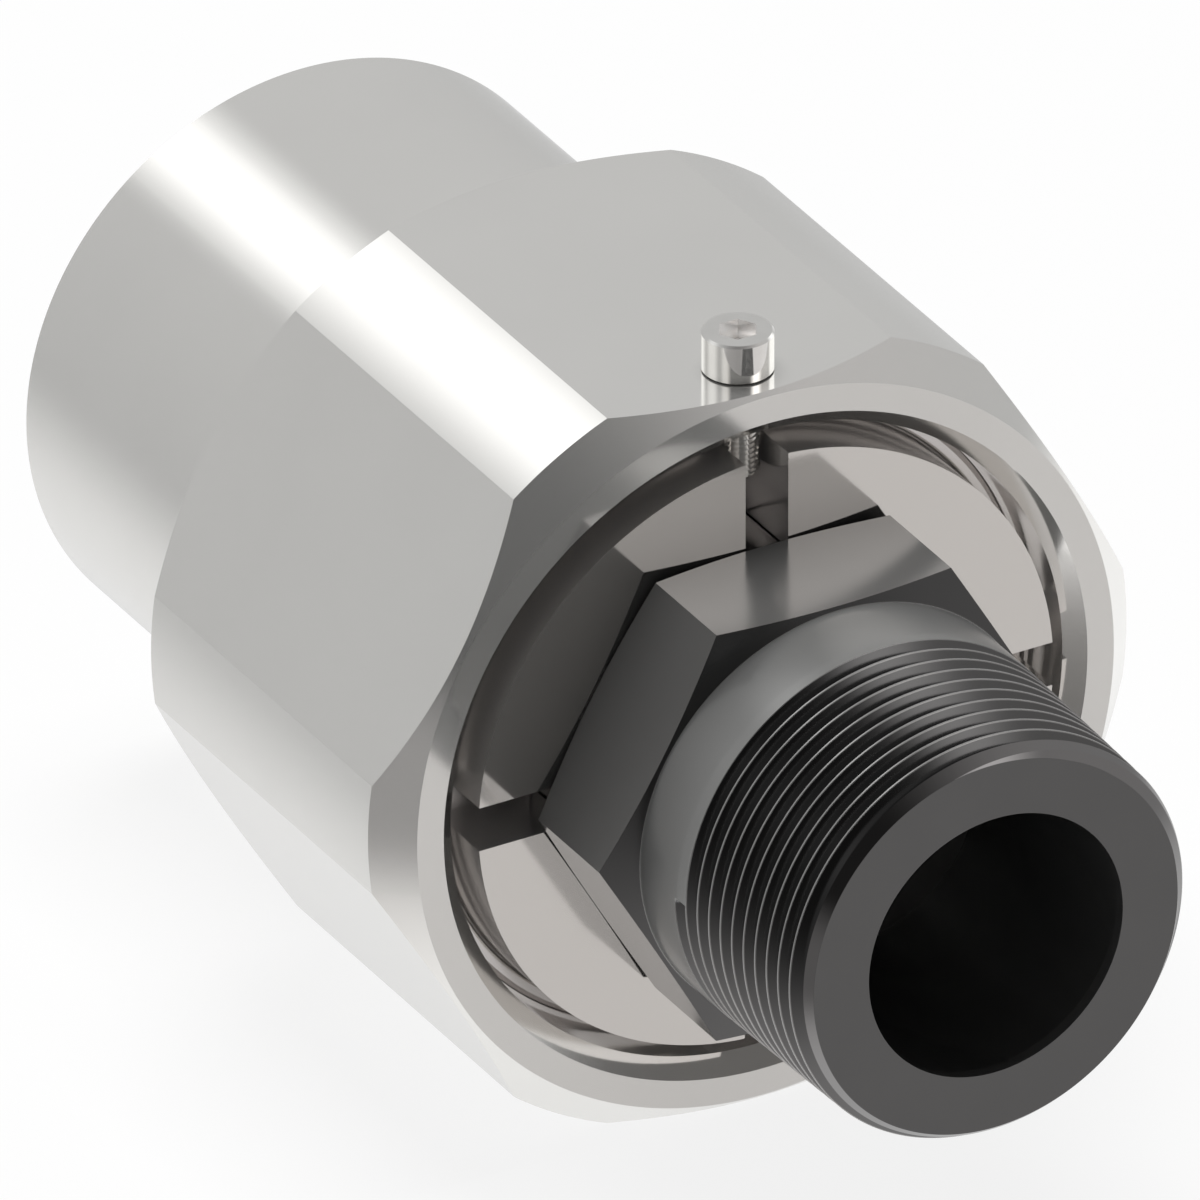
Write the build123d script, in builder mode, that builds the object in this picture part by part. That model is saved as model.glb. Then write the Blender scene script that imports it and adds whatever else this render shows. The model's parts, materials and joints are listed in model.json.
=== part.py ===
from build123d import *
from math import cos, radians, tan
import os

os.makedirs("parts", exist_ok=True)

# Rotary union, in millimetres. The rotation axis is X and the stem's nose points to +X.
# X = 0 is the mouth of the housing's inlet port, and the flat with the lock screw faces +Z.

# Flow bore and inlet port
flow_r = 15.875
port_step = 6.145
port_depth = 22.0
port_edge = 0.5
web_thickness = 3.5

# Seal journal and the chamber round it
journal_wall = 4.125
journal_lead = 1.2
chamber_clearance = 0.15
stem_end_gap = 1.0
seal_lead = 2.0
seal_groove_width = 8.0
seal_groove_depth = 4.85
guide_groove_width = 4.0
guide_groove_depth = 2.35
grease_groove_width = 3.0
grease_groove_depth = 2.85
seal_land = 1.5
seal_side_gap = 0.15
running_gap = 0.08
backup_ring_width = 2.0
lip_depth = 2.6

# Lock nut and tab washer behind the bearings
nut_step = 2.2
nut_width = 4.75
nut_wall = 4.8
nut_slot_width = 4.2
nut_slot_depth = 2.5
nut_slot_count = 4
nut_relief = 3.0
washer_thickness = 1.25
washer_rim = 1.0
keyway_depth = 1.8
tab_gap = 0.25

# Bearings, a standard thin deep-groove size: 45 x 68 x 12
seat_step = 0.3
race_wall = 2.275
race_edge = 0.6
race_shoulder = 2.1
ball_r = 3.375
ball_count = 14
ball_gap = 0.1
groove_ratio = 1.04
cage_thickness = 2.0
cage_bar = 0.975
cage_setback = 1.5
pocket_gap = 0.15
spacer_width = 6.0
spacer_gap = 0.5

# Bearing retainer: threaded flange and slotted hub
thread_step = 4.1
thread_gap = 0.05
thread_runout = 1.0
flange_edge = 0.6
hub_step = 2.03
hub_foot = 0.8
edge_match = 0.001
shaft_gap = 0.17
race_relief_depth = 1.0
slot_side_gap = 0.53
slot_floor_gap = 0.64
wiper_wall = 0.6
wiper_groove_width = 4.0
wiper_groove_depth = 4.0
wiper_setback = 3.0

# Housing, turned from round bar and milled to a hexagon over its front part
mouth_relief = 0.3
mouth_chamfer = 2.0
rim_width = 3.325
flat_relief = 0.475
body_chamfer = 3.9
body_length = 55.33
tail_wall = 12.88
tail_edge = 0.5

# Lock screw, a socket head cap screw
screw_setback = 6.35
screw_thread_r = 2.41
screw_hole_gap = 0.05
screw_reach = 4.67
screw_tip = 0.5
screw_head_step = 1.59
screw_head_height = 4.83
screw_head_edge = 0.25
screw_socket_flats = 3.97
screw_socket_depth = 2.4

# Stem in front of the bearings: shaft, wrench hexagon, neck and tapered nose
shoulder_step = 1.63
stem_hex_step = 1.27
stem_hex_length = 15.28
stem_hex_gap = 0.22
hex_chamfer_angle = 15.0
neck_step = 0.52
neck_length = 8.0
nose_length = 25.8
nose_drop = 0.72
nose_chamfer = 1.4
nose_thread_pitch = 2.36
nose_thread_crest = 0.2
nose_thread_depth = 1.82

# Radii, from the flow bore outwards
port_r = flow_r + port_step
tail_r = port_r + tail_wall
journal_r = flow_r + journal_wall
chamber_r = journal_r + chamber_clearance
nut_thread_r = journal_r + nut_step
nut_r = nut_thread_r + nut_wall
washer_r = nut_r - washer_rim
bearing_bore_r = nut_thread_r + seat_step
pitch_r = bearing_bore_r + race_wall + ball_gap + ball_r
bearing_outer_r = pitch_r + ball_r + ball_gap + race_wall
inner_shoulder_r = pitch_r - race_shoulder
outer_shoulder_r = pitch_r + race_shoulder
shaft_r = bearing_bore_r + shoulder_step
retainer_bore_r = shaft_r + shaft_gap
wiper_groove_r = retainer_bore_r + wiper_groove_depth
race_relief_r = outer_shoulder_r - spacer_gap
retainer_thread_r = bearing_outer_r + thread_step
thread_bore_r = retainer_thread_r + thread_gap
hub_r = retainer_thread_r - hub_step
mouth_r = retainer_thread_r + mouth_relief
face_r = mouth_r + mouth_chamfer + rim_width
flat_height = face_r + flat_relief
bar_r = face_r + body_chamfer
stem_flat = shaft_r + stem_hex_step
stem_corner = stem_flat / cos(radians(30))
neck_r = stem_flat - neck_step
nose_tip_r = neck_r - nose_drop

# Widths that follow from what they hold
cage_width = 2 * (ball_r + pocket_gap) + 2 * cage_bar
bearing_width = cage_width + 2 * cage_setback
flange_width = race_relief_depth + wiper_wall + wiper_groove_width + wiper_setback
spanner_slot_width = 2 * screw_thread_r + slot_side_gap
screw_head_r = screw_thread_r + screw_head_step
hub_length = screw_setback + screw_thread_r + slot_floor_gap
screw_length = flat_height - hub_r + screw_reach

# Stations along the axis, each following from the piece behind it
web_front = port_depth + web_thickness
stem_end = web_front + stem_end_gap
seal_start = stem_end + seal_lead
seal_end = seal_start + seal_groove_width
guide_start = seal_end + seal_land
guide_end = guide_start + guide_groove_width
grease_start = guide_end + seal_land
grease_end = grease_start + grease_groove_width
journal_end = grease_end + seal_land
nut_end = journal_end + nut_width
washer_end = nut_end + washer_thickness
rear_bearing_x = washer_end + bearing_width / 2
spacer_start = washer_end + bearing_width
spacer_end = spacer_start + spacer_width
front_bearing_x = spacer_end + bearing_width / 2
stack_end = spacer_end + bearing_width
flange_end = stack_end + flange_width
front_face = flange_end + hub_length
body_start = front_face - body_length
hex_start = front_face + stem_hex_gap
hex_end = hex_start + stem_hex_length
neck_end = hex_end + neck_length
nose_face = neck_end + nose_length
screw_x = front_face - screw_setback

# Housing: tail and body turned in one setting, with the stepped bore
with BuildPart() as housing:
    with BuildSketch(Plane.XZ):
        with BuildLine():
            Polyline(
                (0, port_r + port_edge),
                (0, tail_r - tail_edge),
                (tail_edge, tail_r),
                (body_start, tail_r),
                (body_start, face_r),
                (body_start + body_chamfer, bar_r),
                (front_face - body_chamfer, bar_r),
                (front_face, face_r),
                (front_face, mouth_r + mouth_chamfer),
                (front_face - mouth_chamfer, mouth_r),
                (flange_end, mouth_r),
                (flange_end, thread_bore_r),
                (stack_end - thread_runout, thread_bore_r),
                (stack_end - thread_runout, bearing_outer_r),
                (washer_end, bearing_outer_r),
                (washer_end, nut_r + nut_relief),
                (journal_end, nut_r + nut_relief),
                (journal_end, chamber_r),
                (web_front, chamber_r),
                (web_front, flow_r),
                (port_depth, flow_r),
                (port_depth, port_r),
                (port_edge, port_r),
                close=True,
            )
        make_face()
    revolve(axis=Axis.X)
    # the six wrench flats
    with BuildSketch(Plane.YZ):
        RegularPolygon(radius=flat_height, side_count=6, major_radius=False)
    extrude(amount=front_face, mode=Mode.INTERSECT)
    # grooves for the pressure seal, the guide ring and the grease seal
    with BuildSketch(Plane.XZ):
        with Locations(((seal_start + seal_end) / 2, chamber_r)):
            Rectangle(seal_groove_width, 2 * seal_groove_depth)
        with Locations(((guide_start + guide_end) / 2, chamber_r)):
            Rectangle(guide_groove_width, 2 * guide_groove_depth)
        with Locations(((grease_start + grease_end) / 2, chamber_r)):
            Rectangle(grease_groove_width, 2 * grease_groove_depth)
    revolve(axis=Axis.X, mode=Mode.SUBTRACT)
    # the tapped hole of the lock screw, through the wall of the mouth
    with Locations((screw_x, 0, flat_height)):
        Hole(screw_thread_r + screw_hole_gap, depth=flat_height)

housing.part.label = "housing"
export_step(housing.part, "parts/housing.step")

# Retainer: the flange screws in behind the mouth, and the slotted hub ends flush with the face
with BuildPart() as bearing_retainer:
    with BuildSketch(Plane.XZ):
        with BuildLine():
            Polyline(
                (stack_end, race_relief_r),
                (stack_end, retainer_thread_r - flange_edge),
                (stack_end + flange_edge, retainer_thread_r),
                (flange_end - flange_edge, retainer_thread_r),
                (flange_end, retainer_thread_r - flange_edge),
                (flange_end, hub_r),
                (front_face, hub_r),
                (front_face, retainer_bore_r),
                (stack_end + race_relief_depth, retainer_bore_r),
                (stack_end + race_relief_depth, race_relief_r),
                close=True,
            )
        make_face()
    revolve(axis=Axis.X)
    foot = bearing_retainer.edges().filter_by(GeomType.CIRCLE)
    foot = foot.filter_by(lambda e: abs(e.radius - hub_r) < edge_match)
    foot = foot.filter_by(lambda e: abs(e.center().X - flange_end) < edge_match)
    fillet(foot, hub_foot)
    with BuildSketch(Plane.XZ):
        with Locations((flange_end - wiper_setback - wiper_groove_width / 2, retainer_bore_r)):
            Rectangle(wiper_groove_width, 2 * wiper_groove_depth)
    revolve(axis=Axis.X, mode=Mode.SUBTRACT)
    # four spanner slots across the hub
    with BuildSketch(Plane.YZ.offset(flange_end)):
        Rectangle(2 * retainer_thread_r, spanner_slot_width)
        Rectangle(spanner_slot_width, 2 * retainer_thread_r)
    extrude(amount=hub_length, mode=Mode.SUBTRACT)

bearing_retainer.part.label = "bearing_retainer"
export_step(bearing_retainer.part, "parts/bearing_retainer.step")

# Lock screw: its head seats on the upper flat and its tip stands in a spanner slot
with BuildPart() as lock_screw:
    with BuildSketch(Plane.XY.offset(flat_height)):
        with Locations((screw_x, 0)):
            Circle(screw_head_r)
    extrude(amount=screw_head_height)
    chamfer(lock_screw.faces().sort_by(Axis.Z)[-1].edges(), screw_head_edge)
    with BuildSketch(Plane.XY.offset(flat_height + screw_head_height)):
        with Locations((screw_x, 0)):
            RegularPolygon(radius=screw_socket_flats / 2, side_count=6, major_radius=False, rotation=30)
    extrude(amount=-screw_socket_depth, mode=Mode.SUBTRACT)
    with BuildSketch(Plane.XY.offset(flat_height)):
        with Locations((screw_x, 0)):
            Circle(screw_thread_r)
    extrude(amount=-screw_length)
    chamfer(lock_screw.faces().sort_by(Axis.Z)[0].edges(), screw_tip)

lock_screw.part.label = "lock_screw"
export_step(lock_screw.part, "parts/lock_screw.step")

# Stem: wrench hexagon first, cut back at its corners, then the turned steps and the flow bore
corner_run = (stem_corner - stem_flat) * tan(radians(hex_chamfer_angle))
with BuildPart() as stem:
    with BuildSketch(Plane.YZ.offset(hex_start)):
        RegularPolygon(radius=stem_flat, side_count=6, major_radius=False)
    extrude(amount=stem_hex_length)
    with BuildSketch(Plane.XZ):
        with BuildLine():
            Polyline(
                (hex_start, 0),
                (hex_start, stem_flat),
                (hex_start + corner_run, stem_corner),
                (hex_end - corner_run, stem_corner),
                (hex_end, stem_flat),
                (hex_end, 0),
                close=True,
            )
        make_face()
    revolve(axis=Axis.X, mode=Mode.INTERSECT)
    with BuildSketch(Plane.XZ):
        with BuildLine():
            Polyline(
                (stem_end, 0),
                (stem_end, journal_r - journal_lead / 2),
                (stem_end + journal_lead, journal_r),
                (journal_end, journal_r),
                (journal_end, nut_thread_r),
                (washer_end, nut_thread_r),
                (washer_end, bearing_bore_r),
                (stack_end, bearing_bore_r),
                (stack_end, shaft_r),
                (hex_start, shaft_r),
                (hex_end, neck_r),
                (neck_end, neck_r),
                (nose_face - nose_chamfer, nose_tip_r + (neck_r - nose_tip_r) * nose_chamfer / nose_length),
                (nose_face, nose_tip_r - nose_chamfer),
                (nose_face, 0),
                close=True,
            )
        make_face()
    revolve(axis=Axis.X)
    with BuildSketch(Plane.YZ.offset(stem_end)):
        Circle(flow_r)
    extrude(amount=nose_face - stem_end, mode=Mode.SUBTRACT)
    # rings with the profile of the taper pipe thread, which winds round the real nose at the same pitch
    flank_run = (nose_thread_pitch - nose_thread_crest) / 2
    top_run = flank_run * (1 + nose_thread_crest / 2 / nose_thread_depth)
    with BuildSketch(Plane.XZ):
        for turn in range(int(nose_length / nose_thread_pitch)):
            along = nose_chamfer + (turn + 0.5) * nose_thread_pitch
            with Locations((nose_face - along, nose_tip_r + nose_drop * along / nose_length)):
                Polygon(
                    (0, -nose_thread_depth),
                    (top_run, nose_thread_crest / 2),
                    (-top_run, nose_thread_crest / 2),
                    align=None,
                )
    revolve(axis=Axis.X, mode=Mode.SUBTRACT)
    # keyway for the tang of the tab washer
    with BuildSketch(Plane.YZ.offset(journal_end)):
        with Locations((0, nut_thread_r)):
            Rectangle(nut_slot_width, 2 * keyway_depth)
    extrude(amount=washer_end - journal_end, mode=Mode.SUBTRACT)

stem.part.label = "stem"
export_step(stem.part, "parts/stem.step")

# Two ball bearings: races, ball set and cage each
groove_r = ball_r * groove_ratio
groove_shift = groove_r - ball_r - ball_gap
for end, bearing_x in (("front", front_bearing_x), ("rear", rear_bearing_x)):
    with BuildPart() as outer_race:
        with BuildSketch(Plane.XZ) as outer_profile:
            with Locations((bearing_x, (outer_shoulder_r + bearing_outer_r) / 2)):
                Rectangle(bearing_width, bearing_outer_r - outer_shoulder_r)
            chamfer(outer_profile.vertices().group_by(Axis.Z)[-1], race_edge)
            with Locations((bearing_x, pitch_r - groove_shift)):
                Circle(groove_r, mode=Mode.SUBTRACT)
        revolve(axis=Axis.X)
    outer_race.part.label = end + "_outer_race"
    export_step(outer_race.part, "parts/" + end + "_outer_race.step")

    with BuildPart() as inner_race:
        with BuildSketch(Plane.XZ) as inner_profile:
            with Locations((bearing_x, (bearing_bore_r + inner_shoulder_r) / 2)):
                Rectangle(bearing_width, inner_shoulder_r - bearing_bore_r)
            chamfer(inner_profile.vertices().group_by(Axis.Z)[0], race_edge)
            with Locations((bearing_x, pitch_r + groove_shift)):
                Circle(groove_r, mode=Mode.SUBTRACT)
        revolve(axis=Axis.X)
    inner_race.part.label = end + "_inner_race"
    export_step(inner_race.part, "parts/" + end + "_inner_race.step")

    with BuildPart(Plane.YZ.offset(bearing_x)) as balls:
        with PolarLocations(pitch_r, ball_count):
            Sphere(ball_r)
    balls.part.label = end + "_balls"
    export_step(balls.part, "parts/" + end + "_balls.step")

    with BuildPart(Plane.YZ.offset(bearing_x)) as cage:
        Cylinder(pitch_r + cage_thickness / 2, cage_width)
        Cylinder(pitch_r - cage_thickness / 2, cage_width, mode=Mode.SUBTRACT)
        with PolarLocations(pitch_r, ball_count):
            Cylinder(ball_r + pocket_gap, 4 * cage_thickness, rotation=(0, 90, 0), mode=Mode.SUBTRACT)
    cage.part.label = end + "_cage"
    export_step(cage.part, "parts/" + end + "_cage.step")

# Spacers between the bearings, one on each set of races
with BuildPart() as outer_spacer:
    with BuildSketch(Plane.YZ.offset(spacer_start)):
        Circle(bearing_outer_r)
        Circle(outer_shoulder_r + spacer_gap, mode=Mode.SUBTRACT)
    extrude(amount=spacer_width)

outer_spacer.part.label = "outer_spacer"
export_step(outer_spacer.part, "parts/outer_spacer.step")

with BuildPart() as inner_spacer:
    with BuildSketch(Plane.YZ.offset(spacer_start)):
        Circle(inner_shoulder_r - spacer_gap)
        Circle(bearing_bore_r, mode=Mode.SUBTRACT)
    extrude(amount=spacer_width)

inner_spacer.part.label = "inner_spacer"
export_step(inner_spacer.part, "parts/inner_spacer.step")

# Lock nut with spanner slots, and the tab washer that keeps it from turning on the stem
with BuildPart() as lock_nut:
    with BuildSketch(Plane.YZ.offset(journal_end)):
        Circle(nut_r)
        Circle(nut_thread_r + thread_gap, mode=Mode.SUBTRACT)
        with PolarLocations(nut_r, nut_slot_count, start_angle=90):
            Rectangle(2 * nut_slot_depth, nut_slot_width, mode=Mode.SUBTRACT)
    extrude(amount=nut_width)

lock_nut.part.label = "lock_nut"
export_step(lock_nut.part, "parts/lock_nut.step")

with BuildPart() as tab_washer:
    with BuildSketch(Plane.YZ.offset(nut_end)):
        Circle(washer_r)
        Circle(nut_thread_r + thread_gap, mode=Mode.SUBTRACT)
        # tang in the keyway
        with Locations((0, nut_thread_r + washer_rim / 2 - keyway_depth / 2 + tab_gap / 2)):
            Rectangle(nut_slot_width - 2 * tab_gap, keyway_depth + washer_rim - tab_gap)
    extrude(amount=washer_thickness)
    # tab bent back into one slot of the nut
    with BuildSketch(Plane.YZ.offset(nut_end)):
        with Locations((0, nut_r - nut_slot_depth / 2)):
            Rectangle(nut_slot_width - 2 * tab_gap, washer_thickness)
    extrude(amount=-nut_width / 2)

tab_washer.part.label = "tab_washer"
export_step(tab_washer.part, "parts/tab_washer.step")

# Dust wiper in the retainer, with its lip towards the nose
wiper_end = flange_end - wiper_setback
wiper_start = wiper_end - wiper_groove_width
with BuildPart() as dust_wiper:
    with BuildSketch(Plane.XZ):
        with BuildLine():
            Polyline(
                (wiper_start + seal_side_gap, retainer_bore_r + running_gap),
                (wiper_start + seal_side_gap, wiper_groove_r),
                (wiper_end - seal_side_gap, wiper_groove_r),
                (wiper_end - seal_side_gap, wiper_groove_r - wiper_groove_depth / 3),
                (wiper_start + wiper_groove_width / 2, shaft_r + running_gap + wiper_groove_depth / 3),
                (wiper_end - seal_side_gap, shaft_r + running_gap),
                close=True,
            )
        make_face()
    revolve(axis=Axis.X)

dust_wiper.part.label = "dust_wiper"
export_step(dust_wiper.part, "parts/dust_wiper.step")

# Pressure seal, a lip ring that opens towards the port, and its backup ring
lip_r = journal_r + running_gap
seal_bottom = chamber_r + seal_groove_depth
backup_start = seal_end - seal_side_gap - backup_ring_width
seal_mid = (lip_r + seal_bottom) / 2
with BuildPart() as pressure_seal:
    with BuildSketch(Plane.XZ):
        with BuildLine():
            Polyline(
                (backup_start, lip_r + running_gap),
                (backup_start, seal_bottom),
                (seal_start + seal_side_gap, seal_bottom),
                (seal_start + seal_side_gap, seal_bottom - lip_depth / 4),
                (seal_start + seal_side_gap + lip_depth, seal_mid),
                (seal_start + seal_side_gap, lip_r + lip_depth / 4),
                (seal_start + seal_side_gap, lip_r),
                close=True,
            )
        make_face()
    revolve(axis=Axis.X)

pressure_seal.part.label = "pressure_seal"
export_step(pressure_seal.part, "parts/pressure_seal.step")

with BuildPart() as backup_ring:
    with BuildSketch(Plane.YZ.offset(backup_start)):
        Circle(seal_bottom)
        Circle(lip_r, mode=Mode.SUBTRACT)
    extrude(amount=backup_ring_width)

backup_ring.part.label = "backup_ring"
export_step(backup_ring.part, "parts/backup_ring.step")

# Guide ring that centres the journal
with BuildPart() as guide_ring:
    with BuildSketch(Plane.YZ.offset(guide_start + seal_side_gap)):
        Circle(chamber_r + guide_groove_depth)
        Circle(lip_r, mode=Mode.SUBTRACT)
    extrude(amount=guide_groove_width - 2 * seal_side_gap)

guide_ring.part.label = "guide_ring"
export_step(guide_ring.part, "parts/guide_ring.step")

# Grease seal, a four-lobed ring that closes the bearing space
grease_bottom = chamber_r + grease_groove_depth
grease_height = grease_bottom - lip_r
grease_width = grease_groove_width - 2 * seal_side_gap
grease_mid = (grease_start + grease_end) / 2
with BuildPart() as grease_seal:
    with BuildSketch(Plane.XZ):
        with Locations((grease_mid, lip_r + grease_height / 2)):
            Rectangle(grease_width, grease_height)
        with Locations((grease_mid, lip_r), (grease_mid, grease_bottom)):
            Circle(grease_height / 6, mode=Mode.SUBTRACT)
    revolve(axis=Axis.X)

grease_seal.part.label = "grease_seal"
export_step(grease_seal.part, "parts/grease_seal.step")
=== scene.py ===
import bpy
import bmesh
import json
import math
import numpy as np
from mathutils import Matrix, Vector


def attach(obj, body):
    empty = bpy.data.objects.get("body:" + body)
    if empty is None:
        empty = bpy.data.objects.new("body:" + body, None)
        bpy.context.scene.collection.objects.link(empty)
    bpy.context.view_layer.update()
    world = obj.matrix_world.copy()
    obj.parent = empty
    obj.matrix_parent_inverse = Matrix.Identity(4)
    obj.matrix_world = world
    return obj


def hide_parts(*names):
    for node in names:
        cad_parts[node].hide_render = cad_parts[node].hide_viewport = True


# Hydraulic rotary union. Sizes are in millimetres and turn into metres where a mesh is made.
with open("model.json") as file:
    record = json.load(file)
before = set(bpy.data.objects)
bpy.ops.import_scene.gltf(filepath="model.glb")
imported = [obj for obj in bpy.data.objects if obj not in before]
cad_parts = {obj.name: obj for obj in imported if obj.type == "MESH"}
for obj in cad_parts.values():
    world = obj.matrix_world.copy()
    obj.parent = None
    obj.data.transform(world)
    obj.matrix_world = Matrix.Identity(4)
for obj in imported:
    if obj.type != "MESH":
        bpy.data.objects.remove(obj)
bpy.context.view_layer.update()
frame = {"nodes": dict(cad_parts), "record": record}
nodes = frame["nodes"]
scene = bpy.context.scene
mm = 0.001
print("frame loaded:", len(nodes), "nodes")


def linear(hexColour):
    values = [int(hexColour[i:i + 2], 16) / 255 for i in (1, 3, 5)]
    return tuple(v / 12.92 if v <= 0.04045 else ((v + 0.055) / 1.055) ** 2.4 for v in values) + (1.0,)


def addNode(tree, kind, settings=None, inputs=None):
    node = tree.nodes.new(kind)
    for key, value in (settings or {}).items():
        setattr(node, key, value)
    for key, value in (inputs or {}).items():
        if isinstance(value, bpy.types.NodeSocket):
            tree.links.new(value, node.inputs[key])
        else:
            node.inputs[key].default_value = value
    return node


def newMaterial(name):
    material = bpy.data.materials.new(name)
    material.use_nodes = True
    tree = material.node_tree
    tree.nodes.clear()
    shader = addNode(tree, "ShaderNodeBsdfPrincipled")
    addNode(tree, "ShaderNodeOutputMaterial", inputs={"Surface": shader.outputs["BSDF"]})
    position = addNode(tree, "ShaderNodeTexCoord").outputs["Object"]
    return material, tree, shader, position


def noiseBetween(tree, position, grainMm, low, high, detail=3.0):
    noise = addNode(tree, "ShaderNodeTexNoise", inputs={"Vector": position, "Scale": 1 / (grainMm * mm), "Detail": detail})
    return addNode(tree, "ShaderNodeMapRange", {"clamp": False}, {
        "Value": noise.outputs["Fac"], "From Min": 0.3, "From Max": 0.7, "To Min": low, "To Max": high}).outputs["Result"]


def metalMaterial(name, light, dark, roughness, cloudMm, grainMm, grainHeight, metallic=1.0, specular=0.5):
    material, tree, shader, position = newMaterial(name)
    cloud = noiseBetween(tree, position, cloudMm, 0.0, 1.0)
    colour = addNode(tree, "ShaderNodeMix", {"data_type": "RGBA"}, {
        "Factor": cloud, 6: linear(light), 7: linear(dark)})
    grain = addNode(tree, "ShaderNodeTexNoise", inputs={"Vector": position, "Scale": 1 / (grainMm * mm), "Detail": 2.0})
    bump = addNode(tree, "ShaderNodeBump", inputs={
        "Height": grain.outputs["Fac"], "Strength": 1.0, "Distance": grainHeight * mm})
    tree.links.new(colour.outputs[2], shader.inputs["Base Color"])
    tree.links.new(noiseBetween(tree, position, cloudMm / 3, roughness[0], roughness[1]), shader.inputs["Roughness"])
    tree.links.new(bump.outputs["Normal"], shader.inputs["Normal"])
    shader.inputs["Metallic"].default_value = metallic
    shader.inputs["Specular IOR Level"].default_value = specular
    return material



# Satin nickel plate over turned steel: a soft mirror, slightly warm, whose fine haze scatters part of the light.
# The recess round the retainer's hub, with its slots, is duller, because its plating is left as turned, and the
# chamfered edge of the mouth and the retainer's face are clearer mirrors.
def satinNickel(s):
    material = metalMaterial("satinNickelPlate", s["light"], s["dark"], s["roughness"], s["cloud"], 0.6, 0.00003,
                             metallic=s["metallic"])
    tree = material.node_tree
    shader = tree.nodes["Principled BSDF"]
    position = next(node for node in tree.nodes if node.type == "TEX_COORD").outputs["Object"]
    along, *across = addNode(tree, "ShaderNodeSeparateXYZ", inputs={0: position}).outputs
    reach = addNode(tree, "ShaderNodeVectorMath", {"operation": "LENGTH"}, {
        0: addNode(tree, "ShaderNodeCombineXYZ", inputs={0: 0.0, 1: across[0], 2: across[1]}).outputs[0]}).outputs["Value"]

    def between(value, low, high):
        edges = [addNode(tree, "ShaderNodeMath", {"operation": operation}, {0: value, 1: limit * mm}).outputs[0]
                 for operation, limit in (("GREATER_THAN", low), ("LESS_THAN", high))]
        return addNode(tree, "ShaderNodeMath", {"operation": "MULTIPLY"}, {0: edges[0], 1: edges[1]}).outputs[0]

    recess, mouth, hub = [addNode(tree, "ShaderNodeMath", {"operation": "MULTIPLY"}, {
        0: between(along, *s[place + "Along"]), 1: between(reach, *s[place + "Reach"])}).outputs[0]
        for place in ("recess", "mouth", "hub")]
    plated = shader.inputs["Base Color"].links[0].from_socket
    polished = shader.inputs["Roughness"].links[0].from_socket
    colour = addNode(tree, "ShaderNodeMix", {"data_type": "RGBA"}, {"Factor": recess, 6: plated, 7: linear(s["dull"])})
    colour = addNode(tree, "ShaderNodeMix", {"data_type": "RGBA"}, {"Factor": hub, 6: colour.outputs[2], 7: linear(s["hub"])})
    tree.links.new(colour.outputs[2], shader.inputs["Base Color"])
    rough = addNode(tree, "ShaderNodeMix", {"data_type": "FLOAT"}, {0: recess, 2: polished, 3: s["dullRoughness"]})
    tree.links.new(rough.outputs[0], shader.inputs["Roughness"])
    metal = addNode(tree, "ShaderNodeMix", {"data_type": "FLOAT"}, {0: recess, 2: s["metallic"], 3: s["dullMetallic"]})
    metal = addNode(tree, "ShaderNodeMix", {"data_type": "FLOAT"}, {0: mouth, 2: metal.outputs[0], 3: s["mouthMetallic"]})
    metal = addNode(tree, "ShaderNodeMix", {"data_type": "FLOAT"}, {0: hub, 2: metal.outputs[0], 3: s["hubMetallic"]})
    tree.links.new(metal.outputs[0], shader.inputs["Metallic"])
    return material


nickelPlate = satinNickel({
    "light": "#f2f1ee", "dark": "#efeeeb", "dull": "#ebe8e6", "dullRoughness": 0.17, "dullMetallic": 0.82,
    "roughness": (0.085, 0.105), "cloud": 22, "metallic": 0.8, "mouthMetallic": 0.96, "hub": "#e6e3df", "hubMetallic": 0.94,
    "recessAlong": (92.0, 101.98), "recessReach": (24.2, 38.39), "mouthAlong": (99.9, 101.98), "mouthReach": (38.39, 40.5),
    "hubAlong": (101.985, 102.1), "hubReach": (24.2, 36.2)})
# Bright zinc plate on the cold-headed screw: paler and a little softer than the nickel
zincPlate = metalMaterial("brightZincPlate", "#fbfaf7", "#f5f4f1", (0.06, 0.08), 3, 0.3, 0.00003, metallic=0.97)
# The same plate in the screw's socket, broken up by the broach into small bright facets
broachedPlate = metalMaterial("broachedZincPlate", "#ffffff", "#faf7f4", (0.08, 0.14), 1, 0.2, 0.0002, metallic=0.68)
# Ground bearing steel: fine satin, neutral
groundSteel = metalMaterial("groundBearingSteel", "#c9cbcd", "#bdbfc2", (0.18, 0.26), 6, 0.2, 0.0005)
# Plain turned steel of the spacers, nut and washer
turnedSteel = metalMaterial("turnedSteel", "#a9a9aa", "#999a9b", (0.28, 0.4), 5, 0.25, 0.001)
# Machined brass cages
machinedBrass = metalMaterial("machinedBrass", "#d6b46a", "#c4a258", (0.22, 0.34), 5, 0.25, 0.0008)
# Moulded nitrile rubber: black, matte, faintly mottled
nitrileRubber = metalMaterial("mouldedNitrile", "#161616", "#1e1e1e", (0.55, 0.7), 4, 0.2, 0.002, metallic=0.0)
# Bronze-filled fluoropolymer rings, machined: brown and dull
bronzeFilledRing = metalMaterial("bronzeFilledFluoropolymer", "#5a4434", "#4c392b", (0.5, 0.65), 4, 0.15, 0.002, metallic=0.0)



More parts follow.
